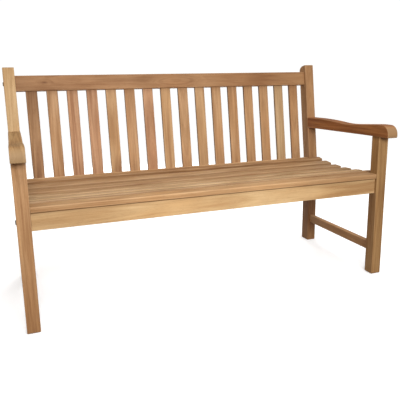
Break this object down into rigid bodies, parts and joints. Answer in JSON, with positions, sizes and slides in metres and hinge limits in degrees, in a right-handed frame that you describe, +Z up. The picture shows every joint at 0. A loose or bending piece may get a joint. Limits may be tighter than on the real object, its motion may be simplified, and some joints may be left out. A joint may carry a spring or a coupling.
{
  "type": "garden bench",
  "caption": "Three-seat teak garden bench: dished slatted seat, raked back of upright slats, curved arms and side stretchers, bolted together from two end frames.",
  "frame": {"origin": "middle of the bench's footprint box on the ground, at the height that the feet stand on", "axes": "+X along the bench, to the right when it is seen from the front, +Y from the front edge to the back, +Z up"},
  "size_m": [1.5066, 0.7106, 0.9173],
  "materials": {
    "teak_frame": "sanded, oiled light teak, satin-matt, grain along each board",
    "teak_seat": "sanded, oiled light teak, satin-matt, grain along each board",
    "teak_back_slats": "sanded, oiled light teak, satin-matt, grain along each board",
    "bolt_steel": "dark zinc-plated steel, dull"
  },
  "bodies": {
    "root": {"front_leg_left": "teak_frame", "back_post_left": "teak_frame", "arm_left": "teak_frame", "seat_side_rail_left": "teak_frame", "side_stretcher_left": "teak_frame", "front_leg_right": "teak_frame", "back_post_right": "teak_frame", "arm_right": "teak_frame", "seat_side_rail_right": "teak_frame", "side_stretcher_right": "teak_frame", "front_apron": "teak_frame", "seat_bearer": "teak_frame", "back_top_rail": "teak_frame", "back_lower_rail": "teak_frame", "seat_front_board": "teak_seat", "seat_slat_1": "teak_seat", "seat_slat_2": "teak_seat", "seat_slat_3": "teak_seat", "seat_slat_4": "teak_seat", "seat_slat_5": "teak_seat", "seat_slat_6": "teak_seat", "back_slat_01": "teak_back_slats", "back_slat_02": "teak_back_slats", "back_slat_03": "teak_back_slats", "back_slat_04": "teak_back_slats", "back_slat_05": "teak_back_slats", "back_slat_06": "teak_back_slats", "back_slat_07": "teak_back_slats", "back_slat_08": "teak_back_slats", "back_slat_09": "teak_back_slats", "back_slat_10": "teak_back_slats", "back_slat_11": "teak_back_slats", "back_slat_12": "teak_back_slats", "back_slat_13": "teak_back_slats", "back_slat_14": "teak_back_slats", "back_slat_15": "teak_back_slats", "back_slat_16": "teak_back_slats", "apron_bolt_left": "bolt_steel", "apron_barrel_nut_left": "bolt_steel", "top_rail_bolt_left": "bolt_steel", "top_rail_barrel_nut_left": "bolt_steel", "lower_rail_bolt_left": "bolt_steel", "lower_rail_barrel_nut_left": "bolt_steel", "apron_bolt_right": "bolt_steel", "apron_barrel_nut_right": "bolt_steel", "top_rail_bolt_right": "bolt_steel", "top_rail_barrel_nut_right": "bolt_steel", "lower_rail_bolt_right": "bolt_steel", "lower_rail_barrel_nut_right": "bolt_steel"}
  },
  "joints": []
}
